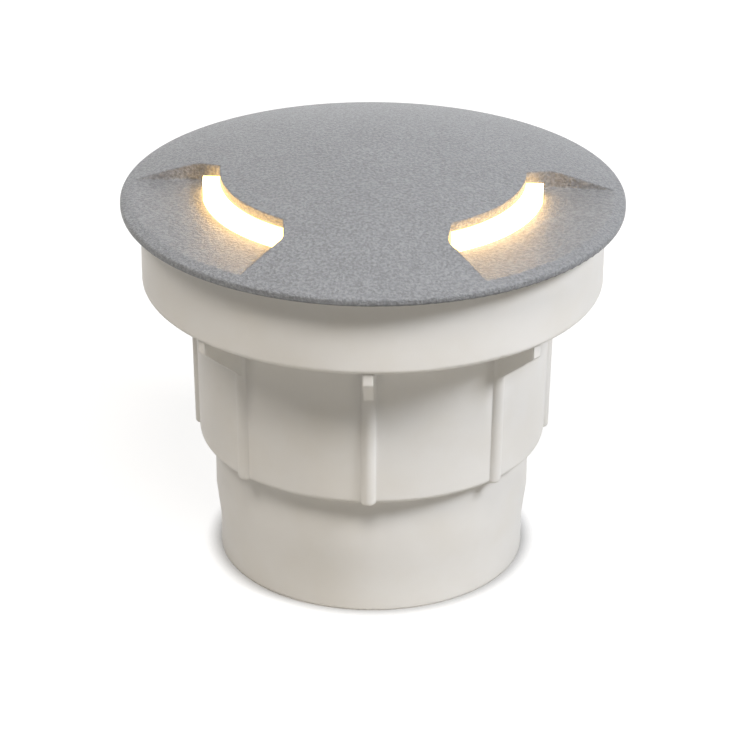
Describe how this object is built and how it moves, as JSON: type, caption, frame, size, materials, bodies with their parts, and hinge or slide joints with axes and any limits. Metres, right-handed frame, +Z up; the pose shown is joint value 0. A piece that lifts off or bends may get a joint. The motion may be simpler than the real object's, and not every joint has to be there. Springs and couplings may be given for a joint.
{
  "type": "in ground well light",
  "caption": "Round in-ground light: a stepped resin sleeve in the ground, a domed grey cover with curved side windows, and a twist-lock disc lamp inside.",
  "frame": {"origin": "centre of the sleeve's bottom edge, on the plane that it stands on", "axes": "+Z up along the light's axis; -Y is the front, with one window facing forward and left and one forward and right"},
  "size_m": [0.12, 0.12, 0.1025],
  "materials": {
    "sleeve_resin": "off-white moulded resin, satin",
    "cover_coat": "die-cast, fine hammered silver-grey coat, matt",
    "opal": "translucent opal white, satin",
    "gasket_silicone": "pale translucent silicone, matt",
    "black_rubber": "black moulded rubber, matt",
    "gland_nylon": "grey moulded nylon, satin",
    "terminal_plastic": "natural white thermoplastic, satin",
    "brass": "plain turned brass",
    "steel": "plain stainless steel",
    "holder_plastic": "white moulded plastic, satin",
    "lamp_plastic": "white moulded plastic, gloss",
    "board": "white solder mask on aluminium",
    "chip": "yellow phosphor",
    "circuit": "green circuit board",
    "component": "black sleeve"
  },
  "bodies": {
    "sleeve": {"mounting_sleeve": "sleeve_resin", "gland_body": "gland_nylon", "gland_washer": "black_rubber", "gland_lock_nut": "gland_nylon", "gland_seal": "black_rubber", "gland_dome_nut": "gland_nylon", "terminal_block": "terminal_plastic", "terminal_clamps": "brass", "terminal_clamp_screws": "steel", "terminal_fixing_screws": "steel", "lamp_holder": "holder_plastic", "holder_screws": "steel", "holder_contact_front": "brass", "holder_contact_back": "brass"},
    "lamp": {"lamp_base": "lamp_plastic", "lamp_pins": "brass", "lamp_driver_board": "circuit", "lamp_driver_parts": "component", "lamp_led_board": "board", "lamp_led_chips": "chip", "lamp_lens": "opal"},
    "gasket": {"rim_gasket": "gasket_silicone"},
    "cover": {"top_cover": "cover_coat", "cover_oring": "black_rubber", "diffuser_seal": "black_rubber", "window_diffuser": "opal", "diffuser_retainer": "steel", "retainer_screws": "steel", "spring_clip_1": "steel", "spring_clip_2": "steel", "spring_clip_3": "steel"}
  },
  "joints": [
    {"name": "cover_turn", "type": "hinge", "parent": "sleeve", "child": "gasket", "pos_m": [0, 0, 0.0902], "axis": [0, 0, 1], "continuous": true},
    {"name": "cover_lift", "type": "slide", "parent": "gasket", "child": "cover", "axis": [0, 0, 1], "range_m": [0, 0.03]},
    {"name": "lamp_twist", "type": "hinge", "parent": "sleeve", "child": "lamp", "pos_m": [0, 0, 0.0602], "axis": [0, 0, 1], "range_deg": [0, 20]}
  ]
}
